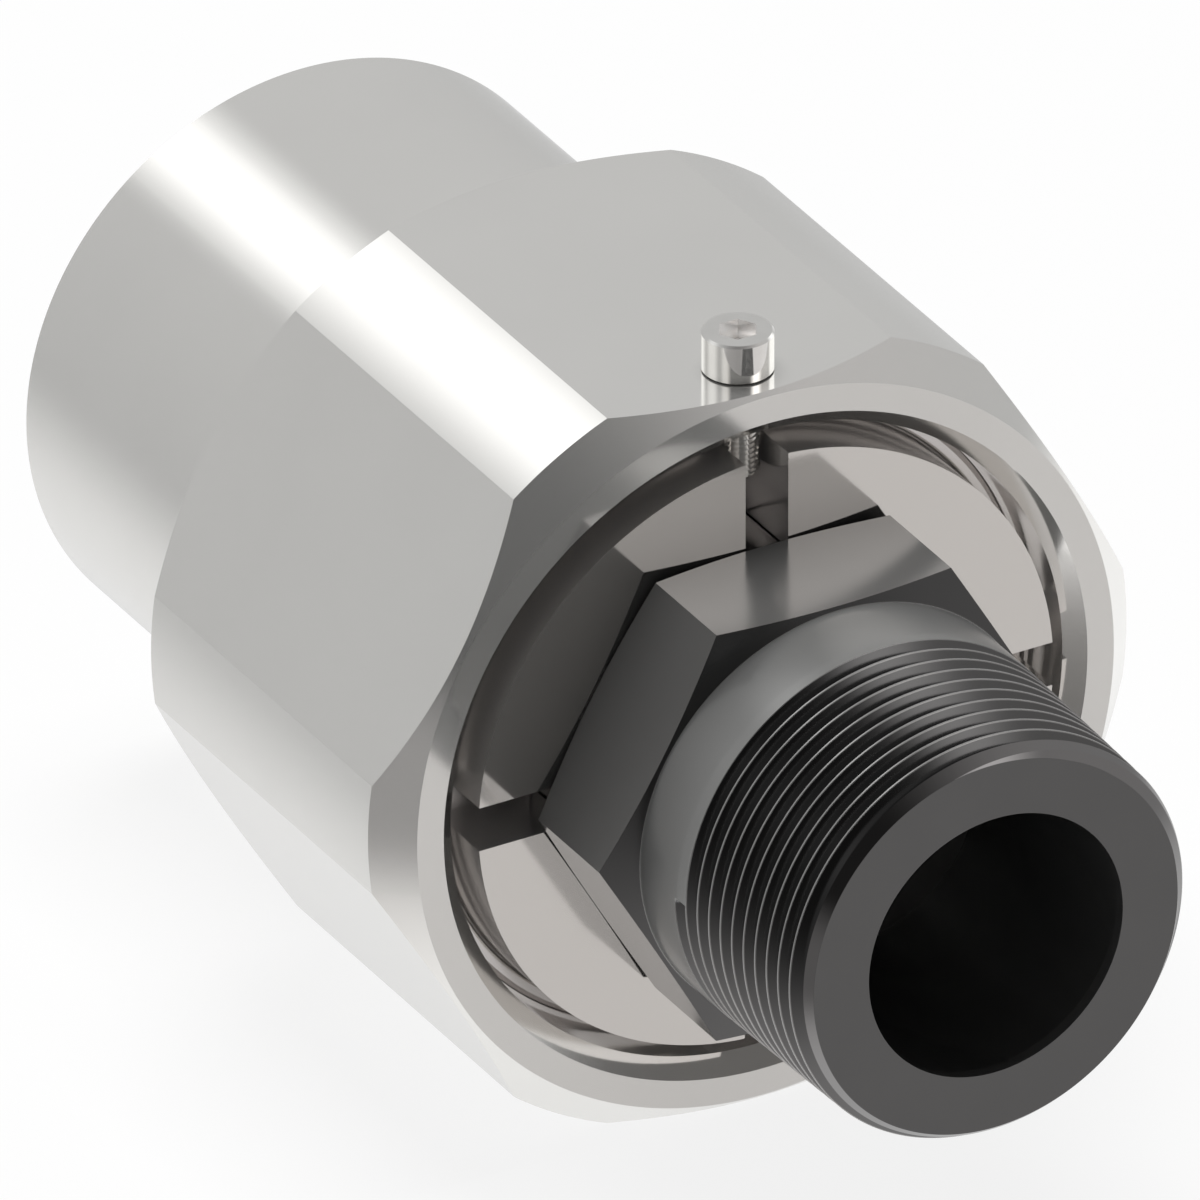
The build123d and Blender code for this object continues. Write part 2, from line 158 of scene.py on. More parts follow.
# Hot black oxide, oiled. It is near black where the thread and the nose were cut last, and a lighter satin where
# handling has burnished it:
# most on the neck, less on the wrench flats and in the bore. The thread's crests are worn bare. The front end of the
# hexagon is coloured darker as painted shade, and its back cone near black as a painted shadow in the gap against the
# retainer's face.
def oiledOxide(s):
    material, tree, shader, position = newMaterial("oiledBlackOxide")
    along, *across = addNode(tree, "ShaderNodeSeparateXYZ", inputs={0: position}).outputs

    def figure(operation, a, b=0.0, c=0.0):
        return addNode(tree, "ShaderNodeMath", {"operation": operation}, {0: a, 1: b, 2: c}).outputs[0]

    def ramp(value, start, end, high=1.0):
        return addNode(tree, "ShaderNodeMapRange", inputs={
            "Value": value, "From Min": start * mm, "From Max": end * mm, "To Max": high}).outputs["Result"]

    def mixed(factor, a, b):
        return addNode(tree, "ShaderNodeMix", {"data_type": "RGBA"}, {"Factor": factor, 6: a, 7: b}).outputs[2]

    radius = figure("SQRT", figure("ADD", figure("POWER", across[0], 2.0), figure("POWER", across[1], 2.0)))
    drop = figure("MULTIPLY", figure("MAXIMUM", figure("SUBTRACT", along, s["neckEnd"] * mm), 0.0), s["taper"])
    fromCrest = figure("ABSOLUTE", figure("ADD", figure("SUBTRACT", radius, s["neckRadius"] * mm), drop))
    outermost = ramp(fromCrest, s["crestBand"], s["crestBand"] / 2)
    onThread = ramp(along, s["threadStart"] - 0.2, s["threadStart"])
    crest = figure("MULTIPLY", outermost, onThread)
    fallsBack = figure("MULTIPLY", figure("SUBTRACT", radius, s["hexFlat"] * mm), s["cornerSlope"])
    hexagon = figure("MULTIPLY", ramp(figure("ADD", along, fallsBack), s["hexFace"] - 0.02, s["hexFace"] - 0.04),
                     ramp(figure("SUBTRACT", along, fallsBack), s["hexBack"] + 0.02, s["hexBack"] + 0.04))
    # painted shade: the hexagon's front face and cones outside the neck are coloured darker (the 'hexEnd' colour)
    hexEnd = figure("MULTIPLY", figure("SUBTRACT", 1.0, hexagon), ramp(radius, s["neckRadius"] + 0.03, s["neckRadius"] + 0.05))
    # painted shadow: the hexagon's back cone, facing the retainer, is coloured near black (the 'under' colour)
    under = figure("MULTIPLY", hexEnd, ramp(along, s["hexFace"] - 8.0, s["hexFace"] - 9.0))
    chamfer = figure("MULTIPLY", ramp(along, *s["chamferStart"]), ramp(along, *s["chamferEnd"]))
    bore = ramp(radius, s["boreRadius"] + 0.02, s["boreRadius"] + 0.01, s["boreBurnish"])
    burnish = figure("MAXIMUM", outermost, bore)
    faced = mixed(hexEnd, mixed(chamfer, linear(s["cut"]), linear(s["chamfer"])), linear(s["hexEnd"]))
    faced = mixed(under, faced, linear(s["under"]))
    faced = mixed(hexagon, mixed(burnish, faced, linear(s["burnished"])), linear(s["hexagon"]))
    colour = mixed(crest, faced, linear(s["bare"]))
    cloud = noiseBetween(tree, position, s["cloud"], 0.98, 1.02)
    clouded = addNode(tree, "ShaderNodeVectorMath", {"operation": "SCALE"}, {0: colour, "Scale": cloud})
    tree.links.new(clouded.outputs[0], shader.inputs["Base Color"])
    metal = figure("MULTIPLY_ADD", burnish, s["burnishedMetal"] - 1.0, 1.0)
    metal = addNode(tree, "ShaderNodeMix", {"data_type": "FLOAT"}, {0: hexagon, 2: metal, 3: s["hexagonMetal"]}).outputs[0]
    tree.links.new(metal, shader.inputs["Metallic"])
    onNeck = figure("MULTIPLY", figure("SUBTRACT", outermost, hexagon), figure("SUBTRACT", 1.0, onThread))
    satin = addNode(tree, "ShaderNodeMix", {"data_type": "FLOAT"}, {0: onNeck, 2: s["roughness"], 3: s["neckRoughness"]})
    satin = addNode(tree, "ShaderNodeMix", {"data_type": "FLOAT"}, {
        0: chamfer, 2: satin.outputs[0], 3: s["chamferRoughness"]})
    tree.links.new(satin.outputs[0], shader.inputs["Roughness"])
    return material


# 'hexEnd' is painted shade on the hexagon's front end; 'under' is a near black painted shadow on its back cone
blackOxide = oiledOxide({
    "cut": "#696969", "burnished": "#989897", "bare": "#a4a3a2", "chamfer": "#8e8d8d", "hexEnd": "#5e5e5e", "under": "#1e1e1e",
    "hexagon": "#7e7d7c", "hexagonMetal": 0.52, "hexFlat": 25.4, "hexBack": 102.22, "cornerSlope": 0.268,
    "burnishedMetal": 0.63, "roughness": 0.18, "neckRoughness": 0.28, "chamferRoughness": 0.1, "cloud": 9.0, "neckEnd": 125.5, "threadStart": 127.4, "neckRadius": 24.88,
    "taper": 0.0279, "crestBand": 0.12, "hexFace": 117.5, "boreRadius": 15.875, "boreBurnish": 0.4,
    "chamferStart": (149.86, 149.87), "chamferEnd": (151.29, 151.28)})

finishes = {
    "plated_steel": nickelPlate, "plated_screw_steel": zincPlate, "black_oxide_steel": blackOxide,
    "bearing_steel": groundSteel, "spacer_steel": turnedSteel, "cage_brass": machinedBrass,
    "seal_rubber": nitrileRubber, "ring_polymer": bronzeFilledRing}
for part in frame["record"]["subparts"]:
    slots = nodes[part["node"]].data.materials
    slots.clear()
    slots.append(finishes[part["material_slot"]])
print("materials made:", len(finishes))


def evenAngles(count):
    return np.arange(count) * 2 * math.pi / count


def hexLimit(angles, halfFlat):
    offset = np.mod(angles, math.pi / 3) - math.pi / 6      # from the nearest flat's normal, at 30, 90, 150 degrees
    return halfFlat / np.cos(offset)


# Columns of points at the given angles, rows of (x, radius), joined by quads and closed round the axis
def turnedMesh(name, angles, rows, closed=True):
    count, levels = len(angles), len(rows)
    points = np.zeros((levels, count, 3))
    for level, (x, radius) in enumerate(rows):
        points[level, :, 0] = x
        points[level, :, 1] = radius * np.cos(angles)
        points[level, :, 2] = radius * np.sin(angles)
    faces = []
    for level in range(levels if closed else levels - 1):
        below, above = level * count, (level + 1) % levels * count
        for i in range(count):
            j = (i + 1) % count
            faces.append((below + i, below + j, above + j, above + i))
    mesh = bpy.data.meshes.new(name)
    mesh.from_pydata((points.reshape(-1, 3) * mm).tolist(), [], faces)
    piece = bpy.data.objects.new(name, mesh)
    scene.collection.objects.link(piece)
    return piece


def closeUp(piece, distance=0.0005):
    mesh = bmesh.new()
    mesh.from_mesh(piece.data)
    bmesh.ops.remove_doubles(mesh, verts=mesh.verts, dist=distance * mm)
    bmesh.ops.dissolve_degenerate(mesh, edges=mesh.edges, dist=distance * mm)
    bmesh.ops.recalc_face_normals(mesh, faces=mesh.faces)
    mesh.to_mesh(piece.data)
    mesh.free()


def applied(piece):
    graph = bpy.context.evaluated_depsgraph_get()
    graph.update()
    mesh = bpy.data.meshes.new_from_object(piece.evaluated_get(graph))
    piece.modifiers.clear()
    piece.data = mesh
    return piece


def machine(piece, tool, operation="DIFFERENCE"):
    modifier = piece.modifiers.new("machine", "BOOLEAN")
    modifier.operation = operation
    modifier.solver = "EXACT"
    modifier.object = tool
    applied(piece)
    bpy.data.objects.remove(tool)
    return piece


def welded(piece, others):
    mesh = bmesh.new()
    mesh.from_mesh(piece.data)
    for other in others:
        mesh.from_mesh(other.data)
        bpy.data.objects.remove(other)
    mesh.to_mesh(piece.data)
    mesh.free()
    closeUp(piece, 0.002)
    return piece


def dress(piece, material, body, replaced, sharpDegrees=10):
    piece.data.materials.clear()
    piece.data.materials.append(material)
    piece.data.polygons.foreach_set("material_index", [0] * len(piece.data.polygons))
    piece.data.shade_smooth()
    piece.data.set_sharp_from_angle(angle=math.radians(sharpDegrees))
    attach(piece, body)
    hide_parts(replaced)
    print("piece done:", piece.name, len(piece.data.polygons), "faces")


# Right-hand thread round the X axis as one grid: its rows follow the helix and are held at both ends of the band
def threadTree():
    tree = bpy.data.node_groups.new("helixThread", "GeometryNodeTree")
    sockets = {}
    for name, kind in (("Columns", "Int"), ("Rows", "Int"), ("Pitch", "Float"), ("Depth", "Float"), ("Crest Flat", "Float"),
                       ("Root Flat", "Float"), ("Far End", "Float"), ("Length", "Float"), ("Crest Radius", "Float"),
                       ("Taper", "Float"), ("Largest Radius", "Float"), ("Core Radius", "Float"), ("Phase", "Float"),
                       ("Last Turn", "Float"), ("Run Out", "Float"), ("Material", "Material")):
        sockets[name] = tree.interface.new_socket(name=name, in_out="INPUT", socket_type="NodeSocket" + kind).identifier
    tree.interface.new_socket(name="Geometry", in_out="OUTPUT", socket_type="NodeSocketGeometry")
    given = addNode(tree, "NodeGroupInput").outputs

    def sum(operation, a, b=0.0, c=0.0):
        return addNode(tree, "ShaderNodeMath", {"operation": operation}, {0: a, 1: b, 2: c}).outputs[0]

    def ramp(value, start, end, low, high):
        return addNode(tree, "ShaderNodeMapRange", {"clamp": True}, {
            "Value": value, "From Min": start, "From Max": end, "To Min": low, "To Max": high}).outputs["Result"]

    grid = addNode(tree, "GeometryNodeMeshGrid", inputs={
        "Size X": 1.0, "Size Y": 1.0, "Vertices X": sum("ADD", given["Columns"], 1.0), "Vertices Y": given["Rows"]})
    place = addNode(tree, "ShaderNodeSeparateXYZ", inputs={0: addNode(tree, "GeometryNodeInputPosition").outputs[0]})
    turn = sum("ADD", place.outputs["X"], 0.5)
    row = sum("ROUND", sum("MULTIPLY", sum("ADD", place.outputs["Y"], 0.5), sum("SUBTRACT", given["Rows"], 1.0)))
    step = sum("SUBTRACT", row, 17.0)       # one lap early, so that the first rows are all held at the near end
    lap = sum("FLOOR", sum("DIVIDE", step, 16.0))
    within = sum("SUBTRACT", step, sum("MULTIPLY", lap, 16.0))
    # one pitch: crest flat, 7 steps down the flank, root flat, 7 steps up
    crest, root = given["Crest Flat"], given["Root Flat"]
    flank = sum("DIVIDE", sum("SUBTRACT", sum("SUBTRACT", 1.0, crest), root), 2.0)
    share = sum("ADD", sum("ADD", ramp(within, 0.0, 1.0, 0.0, crest), ramp(within, 1.0, 8.0, 0.0, flank)),
                sum("ADD", ramp(within, 8.0, 9.0, 0.0, root), ramp(within, 9.0, 16.0, 0.0, flank)))
    along = sum("MULTIPLY_ADD", sum("SUBTRACT", sum("ADD", lap, share), turn), given["Pitch"], given["Phase"])
    along = sum("MINIMUM", sum("MAXIMUM", along, 0.0), given["Length"])
    laps = sum("ADD", sum("DIVIDE", sum("SUBTRACT", along, given["Phase"]), given["Pitch"]), turn)
    part = sum("FRACT", laps)
    down = ramp(part, crest, sum("ADD", crest, flank), 0.0, 1.0)
    up = ramp(part, sum("SUBTRACT", 1.0, flank), 1.0, 0.0, 1.0)
    ending = ramp(sum("SUBTRACT", sum("FLOOR", laps), turn),
                  sum("SUBTRACT", given["Last Turn"], given["Run Out"]), given["Last Turn"], 1.0, 0.0)
    inside = sum("LESS_THAN", along, sum("SUBTRACT", given["Length"], 0.001))       # the last ring is a plain circle
    cut = sum("MULTIPLY", sum("MULTIPLY", given["Depth"], sum("MULTIPLY", ending, inside)), sum("SUBTRACT", down, up))
    outside = sum("MINIMUM", sum("MULTIPLY_ADD", along, given["Taper"], given["Crest Radius"]), given["Largest Radius"])
    radius = sum("SUBTRACT", outside, cut)
    isCore = sum("LESS_THAN", row, 0.5)
    radius = sum("ADD", sum("MULTIPLY", radius, sum("SUBTRACT", 1.0, isCore)), sum("MULTIPLY", given["Core Radius"], isCore))
    angle = sum("MULTIPLY", turn, 2 * math.pi)
    point = addNode(tree, "ShaderNodeCombineXYZ", inputs={
        0: sum("SUBTRACT", given["Far End"], along),
        1: sum("MULTIPLY", radius, sum("COSINE", angle)),
        2: sum("MULTIPLY", radius, sum("SINE", angle))})
    wound = addNode(tree, "GeometryNodeSetPosition", inputs={"Geometry": grid.outputs["Mesh"], "Position": point.outputs[0]})
    merged = addNode(tree, "GeometryNodeMergeByDistance", inputs={"Geometry": wound.outputs[0], "Distance": 0.002})
    scaled = addNode(tree, "GeometryNodeTransform", inputs={"Geometry": merged.outputs[0], "Scale": (mm, mm, mm)})
    real = addNode(tree, "GeometryNodeRealizeInstances", inputs={"Geometry": scaled.outputs[0]})
    coated = addNode(tree, "GeometryNodeSetMaterial", inputs={"Geometry": real.outputs[0], "Material": given["Material"]})
    addNode(tree, "NodeGroupOutput", inputs={"Geometry": coated.outputs[0]})
    return tree, sockets


helixThread, threadSockets = threadTree()


def threadBand(name, sizes, material):
    piece = bpy.data.objects.new(name, bpy.data.meshes.new(name))
    scene.collection.objects.link(piece)
    modifier = piece.modifiers.new("thread", "NODES")
    modifier.node_group = helixThread
    sizes = dict(sizes, Rows=16 * (math.ceil(sizes["Length"] / sizes["Pitch"]) + 3) + 2, Material=material)
    for key, value in sizes.items():
        modifier[threadSockets[key]] = value
    return applied(piece)


# Housing: tail, hexagon body, mouth and stepped bore
housingSizes = {
    "barRadius": 47.625, "acrossFlats": 88.4, "chamfer": 3.9, "bodyStart": 46.67, "face": 102.0,
    "tailRadius": 34.9, "tailEdge": 0.5, "portRadius": 22.02, "portEdge": 0.5, "portDepth": 22.0, "flowRadius": 15.875,
    "webFront": 25.5, "chamberRadius": 20.15, "chamberEnd": 48.0, "nutRadius": 30.0, "bearingStart": 54.0,
    "bearingRadius": 34.0, "threadStart": 83.0, "threadRadius": 38.15, "flangeEnd": 92.6, "mouthRadius": 38.4,
    "mouthChamfer": 2.0, "grooves": ((28.5, 36.5, 25.0), (38.0, 42.0, 22.5), (43.5, 46.5, 23.0)),
    "screwX": 95.65, "screwHole": 2.46}


def housingPiece(s):
    half = s["acrossFlats"] / 2
    stripStart = math.acos(half / s["barRadius"])
    edges = [math.radians(30 + 60 * k) + side * stripStart for k in range(6) for side in (-1, 1)]
    angles = np.unique(np.round(np.mod(np.concatenate([evenAngles(240), edges]), 2 * math.pi), 9))
    faceRadius = s["barRadius"] - s["chamfer"]
    cone = np.minimum(hexLimit(angles, half), s["barRadius"]) - faceRadius
    rows = [(0, s["portRadius"] + s["portEdge"]), (0, s["tailRadius"] - s["tailEdge"]), (s["tailEdge"], s["tailRadius"]),
            (s["bodyStart"], s["tailRadius"]), (s["bodyStart"], faceRadius), (s["bodyStart"] + cone, faceRadius + cone),
            (s["face"] - cone, faceRadius + cone), (s["face"], faceRadius), (s["face"], s["mouthRadius"] + s["mouthChamfer"]),
            (s["face"] - s["mouthChamfer"], s["mouthRadius"]), (s["flangeEnd"], s["mouthRadius"]),
            (s["flangeEnd"], s["threadRadius"]), (s["threadStart"], s["threadRadius"]), (s["threadStart"], s["bearingRadius"]),
            (s["bearingStart"], s["bearingRadius"]), (s["bearingStart"], s["nutRadius"]), (s["chamberEnd"], s["nutRadius"]),
            (s["chamberEnd"], s["chamberRadius"])]
    for start, end, bottom in reversed(s["grooves"]):
        rows += [(end, s["chamberRadius"]), (end, bottom), (start, bottom), (start, s["chamberRadius"])]
    rows += [(s["webFront"], s["chamberRadius"]), (s["webFront"], s["flowRadius"]), (s["portDepth"], s["flowRadius"]),
             (s["portDepth"], s["portRadius"]), (s["portEdge"], s["portRadius"])]
    piece = turnedMesh("turnedHousing", angles, rows)
    closeUp(piece)
    drill = turnedMesh("screwDrill", evenAngles(64), [(20, 0), (20, s["screwHole"]), (60, s["screwHole"]), (60, 0)], False)
    closeUp(drill)
    drill.data.transform(Matrix.Translation((s["screwX"] * mm, 0, 0)) @ Matrix.Rotation(-math.pi / 2, 4, "Y"))
    machine(piece, drill)
    return piece


# Tap for the inlet port: the male form of the taper thread that is cut there
portTap = {
    "Columns": 160, "Pitch": 2.209, "Depth": 1.7, "Crest Flat": 0.05, "Root Flat": 0.2, "Far End": 19.5, "Length": 21.0,
    "Crest Radius": 23.1, "Taper": 0.03125, "Largest Radius": 24.2, "Core Radius": 0.0, "Phase": 0.6, "Last Turn": 99.0,
    "Run Out": 0.1}

housing = housingPiece(housingSizes)
tap = threadBand("portTap", portTap, nickelPlate)
tapBack = turnedMesh("tapBack", evenAngles(portTap["Columns"]), [(portTap["Far End"] - portTap["Length"], 0)] + [
    (portTap["Far End"] - portTap["Length"], portTap["Crest Radius"] + portTap["Taper"] * portTap["Length"])], False)
machine(housing, welded(tap, [tapBack]))
dress(housing, nickelPlate, "housing", "housing")

# Bearing retainer: flange, hub and the four spanner slots
retainerSizes = {
    "back": 84.0, "reliefRadius": 29.85, "reliefDepth": 1.0, "flangeRadius": 38.1, "flangeEdge": 0.6, "flangeEnd": 92.6,
    "hubRadius": 36.07, "foot": 0.8, "face": 102.0, "boreRadius": 24.3, "slotWidth": 5.35,
    "wiperStart": 85.6, "wiperEnd": 89.6, "wiperRadius": 28.3}


def retainerPiece(s):
    foot = [(s["flangeEnd"] + s["foot"] * (1 - math.cos(t)), s["hubRadius"] + s["foot"] * (1 - math.sin(t)))
            for t in np.linspace(0, math.pi / 2, 7)]
    rows = [(s["back"], s["reliefRadius"]), (s["back"], s["flangeRadius"] - s["flangeEdge"]),
            (s["back"] + s["flangeEdge"], s["flangeRadius"]), (s["flangeEnd"] - s["flangeEdge"], s["flangeRadius"]),
            (s["flangeEnd"], s["flangeRadius"] - s["flangeEdge"])] + foot + [
            (s["face"], s["hubRadius"]), (s["face"], s["boreRadius"]), (s["wiperEnd"], s["boreRadius"]),
            (s["wiperEnd"], s["wiperRadius"]), (s["wiperStart"], s["wiperRadius"]), (s["wiperStart"], s["boreRadius"]),
            (s["back"] + s["reliefDepth"], s["boreRadius"]), (s["back"] + s["reliefDepth"], s["reliefRadius"])]
    piece = turnedMesh("slottedRetainer", evenAngles(240), rows)
    closeUp(piece)
    cutter = bpy.data.objects.new("slotCutter", bpy.data.meshes.new("slotCutter"))
    scene.collection.objects.link(cutter)
    half, reach, inner = s["slotWidth"] / 2, s["flangeRadius"] + 1, s["boreRadius"] - 2
    mesh = bmesh.new()
    for k in range(4):
        turn = Matrix.Rotation(k * math.pi / 2, 4, "X")
        block = Matrix.Translation(((s["flangeEnd"] + 10) * mm, (inner + reach) / 2 * mm, 0)) @ Matrix.Diagonal(
            (20 * mm, (reach - inner) * mm, 2 * half * mm, 1))
        bmesh.ops.create_cube(mesh, size=1.0, matrix=turn @ block)
    mesh.to_mesh(cutter.data)
    mesh.free()
    return machine(piece, cutter)


dress(retainerPiece(retainerSizes), nickelPlate, "housing", "bearing_retainer")

# Stem: turned body with the wrench hexagon, and the tapered thread wound on its nose
stemSizes = {
    "end": 26.5, "journalRadius": 20.0, "lead": 1.2, "journalEnd": 48.0, "nutThread": 22.2, "seatStart": 54.0,
    "seatRadius": 22.5, "shoulder": 84.0, "shaftRadius": 24.13, "hexStart": 102.22, "hexEnd": 117.5, "acrossFlats": 50.8,
    "cornerAngle": 15.0, "neckRadius": 24.88, "boreRadius": 15.875, "noseFace": 151.3, "noseRadius": 22.76,
    "keyWidth": 4.2, "keyDepth": 1.8, "columns": 240}
noseThread = {
    "Columns": 240, "Pitch": 2.36, "Depth": 1.82, "Crest Flat": 0.08, "Root Flat": 0.05, "Far End": 154.3,
    "Length": 29.7, "Crest Radius": 24.0763, "Taper": 0.0279, "Largest Radius": 24.88, "Core Radius": 15.875,
    "Phase": 2.116, "Last Turn": 10.5, "Run Out": 0.003}


def stemPiece(s, thread):
    angles = evenAngles(s["columns"])
    flat = s["acrossFlats"] / 2
    limit = hexLimit(angles, flat)
    slope = math.tan(math.radians(s["cornerAngle"]))
    back = (limit - flat) * slope
    neckStart = s["hexEnd"] + (flat - s["neckRadius"]) * slope
    rows = [(thread["Far End"], s["boreRadius"]), (s["end"], s["boreRadius"]), (s["end"], s["journalRadius"] - s["lead"] / 2),
            (s["end"] + s["lead"], s["journalRadius"]), (s["journalEnd"], s["journalRadius"]),
            (s["journalEnd"], s["nutThread"]), (s["seatStart"], s["nutThread"]), (s["seatStart"], s["seatRadius"]),
            (s["shoulder"], s["seatRadius"]), (s["shoulder"], s["shaftRadius"]), (s["hexStart"], s["shaftRadius"]),
            (s["hexStart"], flat), (s["hexStart"] + back, limit), (s["hexEnd"] - back, limit),
            (neckStart, s["neckRadius"]), (thread["Far End"] - thread["Length"], s["neckRadius"])]
    piece = turnedMesh("threadedStem", angles, rows, closed=False)
    welded(piece, [threadBand("noseThread", thread, blackOxide)])
    # faced to length and chamfered at the nose
    reach = 40.0
    envelope = turnedMesh("noseEnvelope", evenAngles(240), [
        (10, 0), (10, reach), (s["noseFace"] - reach + s["noseRadius"], reach), (s["noseFace"], s["noseRadius"]),
        (s["noseFace"], 0)], False)
    closeUp(envelope)
    machine(piece, envelope, "INTERSECT")
    key = turnedMesh("keyCutter", np.radians([45, 135, 225, 315]), [(-0.5, 0), (-0.5, 0.7071068), (0.5, 0.7071068), (0.5, 0)], False)
    closeUp(key)
    key.data.transform(Matrix.Translation(((s["journalEnd"] + s["seatStart"]) / 2 * mm, 0, s["nutThread"] * mm)) @ Matrix.Diagonal(
        ((s["seatStart"] - s["journalEnd"]), s["keyWidth"], 2 * s["keyDepth"], 1)))
    return machine(piece, key)


dress(stemPiece(stemSizes, noseThread), blackOxide, "stem", "stem")

# Lock screw: cold-headed cap with a broached hexagon socket, and a rolled thread
screwSizes = {
    "x": 95.65, "seat": 44.2, "headRadius": 4.0, "headHeight": 4.83, "rim": 0.25, "under": 0.03, "socketFlats": 3.97,
    "socketDepth": 2.4, "length": 12.8, "threadRadius": 2.41, "tipRadius": 1.9, "columns": 96, "washerFace": 0.2,
    "washerRadius": 3.3}
screwThread = {
    "Columns": 96, "Pitch": 0.62, "Depth": 0.36, "Crest Flat": 0.2, "Root Flat": 0.15, "Far End": 0.5, "Length": 12.0,
    "Crest Radius": 2.41, "Taper": 0.0, "Largest Radius": 2.41, "Core Radius": 0.0, "Phase": 0.1, "Last Turn": 17.0,
    "Run Out": 0.5}


def screwPiece(s, thread):
    # built along X with the tip towards +X, then stood up with its head on the flat
    thread = dict(thread, **{"Far End": s["length"] + 0.5})
    neck = thread["Far End"] - thread["Length"]
    rows = [(neck, s["threadRadius"]), (0, s["threadRadius"]), (0, s["washerRadius"]), (-s["washerFace"], s["washerRadius"]),
            (-s["washerFace"], s["headRadius"] - s["under"]), (-s["washerFace"] - s["under"], s["headRadius"]),
            (s["rim"] - s["headHeight"], s["headRadius"]),
            (-s["headHeight"], s["headRadius"] - s["rim"]), (-s["headHeight"], 0)]
    piece = turnedMesh("lockScrew", evenAngles(s["columns"]), rows, closed=False)
    welded(piece, [threadBand("screwThread", thread, zincPlate)])
    envelope = turnedMesh("tipEnvelope", evenAngles(96), [
        (-10, 0), (-10, 9), (s["length"] - 9 + s["tipRadius"], 9), (s["length"], s["tipRadius"]), (s["length"], 0)], False)
    closeUp(envelope)
    machine(piece, envelope, "INTERSECT")
    corner = s["socketFlats"] / 2 / math.cos(math.pi / 6)
    bottom = s["socketDepth"] - s["headHeight"]
    broach = turnedMesh("broach", evenAngles(6), [
        (-s["headHeight"] - 1, 0), (-s["headHeight"] - 1, corner), (bottom, corner), (bottom + 0.7, 0)], False)
    closeUp(broach)
    machine(piece, broach)
    piece.data.transform(Matrix.Translation((s["x"] * mm, 0, s["seat"] * mm)) @ Matrix.Rotation(math.pi / 2, 4, "Y"))
    return piece


lockScrew = screwPiece(screwSizes, screwThread)
dress(lockScrew, zincPlate, "housing", "lock_screw", 20)
lockScrew.data.materials.append(broachedPlate)
for face in lockScrew.data.polygons:
    across = math.hypot(face.center.x - screwSizes["x"] * mm, face.center.y)
    top = (screwSizes["seat"] + screwSizes["headHeight"]) * mm
    inSocket = across < screwSizes["socketFlats"] * 0.52 * mm and top - screwSizes["headHeight"] * mm < face.center.z < top - 0.1 * mm
    face.material_index = 1 if inSocket else 0

# Camera: the photograph's parallel view, through a very long lens
cameraSizes = {
    "lens": 1680.0, "sensor": 36.0, "width": 130.84, "target": (65.84, 0.0, 0.296), "towards": (0.75, -0.4330127, 0.5)}
towards = Vector(cameraSizes["towards"]).normalized()
target = Vector(cameraSizes["target"]) * mm
distance = cameraSizes["width"] * mm * cameraSizes["lens"] / cameraSizes["sensor"]
camera = bpy.data.objects.new("camera", bpy.data.cameras.new("camera"))
scene.collection.objects.link(camera)
camera.data.lens = cameraSizes["lens"]
camera.data.sensor_width = cameraSizes["sensor"]
camera.data.clip_start = 0.1
camera.data.clip_end = 60.0
camera.location = target + towards * distance
camera.rotation_mode = "QUATERNION"
camera.rotation_quaternion = (-towards).to_track_quat("-Z", "Y")
scene.camera = camera

# Studio: a pale floor that keeps the shadow, one soft lamp, and surroundings that the metal mirrors. These are
# white below, grey at eye level, and each lobe is a soft box or a dark screen seen from the object: its direction,
# the angles in degrees where it is full and where it has faded out, and its level.
studio = {
    "floor": "#f4f4f4", "floorGlow": (0.86, 1.0), "floorFade": (200.0, 600.0), "floorZ": -44.25, "floorHalf": 3000.0, "worldFill": 0.2,
    "eyeLevel": 0.475, "below": 0.85, "fade": (-0.25, -0.68), "warm": "#fffcfb", "warmFrom": (0.05, 0.45),
    "lobes": (((0.8, -0.42, 0.25), 22, 78, 0.03), ((-0.42, -0.76, 0.5), 5, 24, 0.8), ((-0.92, 0.0, 0.4), 4, 17, 1.1),
              ((-0.3, 0.81, 0.5), 14, 26, 1.25), ((-0.75, -0.183, 0.635), 0, 17.5, 1.5), ((0.75, 0.433, 0.5), 4, 20, 1.6),
              ((0.75, 0.433, -0.5), 8, 25, 0.655), ((-0.3, 0.85, -0.42), 12, 35, 1.05), ((0.0, 0.0, -1.0), 20, 50, 1.0),
              ((0.51, -0.81, -0.28), 5, 30, 0.28), ((0.3, -0.81, 0.5), 3, 18, 0.7)),
    "lamp": {"direction": (-0.2, 0.0, 1.0), "distance": 1600.0, "size": 1000.0, "power": 24.5}}


def seenDirectly(tree):
    path = addNode(tree, "ShaderNodeLightPath").outputs
    mirrored = addNode(tree, "ShaderNodeMath", {"operation": "MAXIMUM"}, {
        0: path["Is Glossy Ray"], 1: path["Is Transmission Ray"]}).outputs[0]
    return path["Is Camera Ray"], mirrored


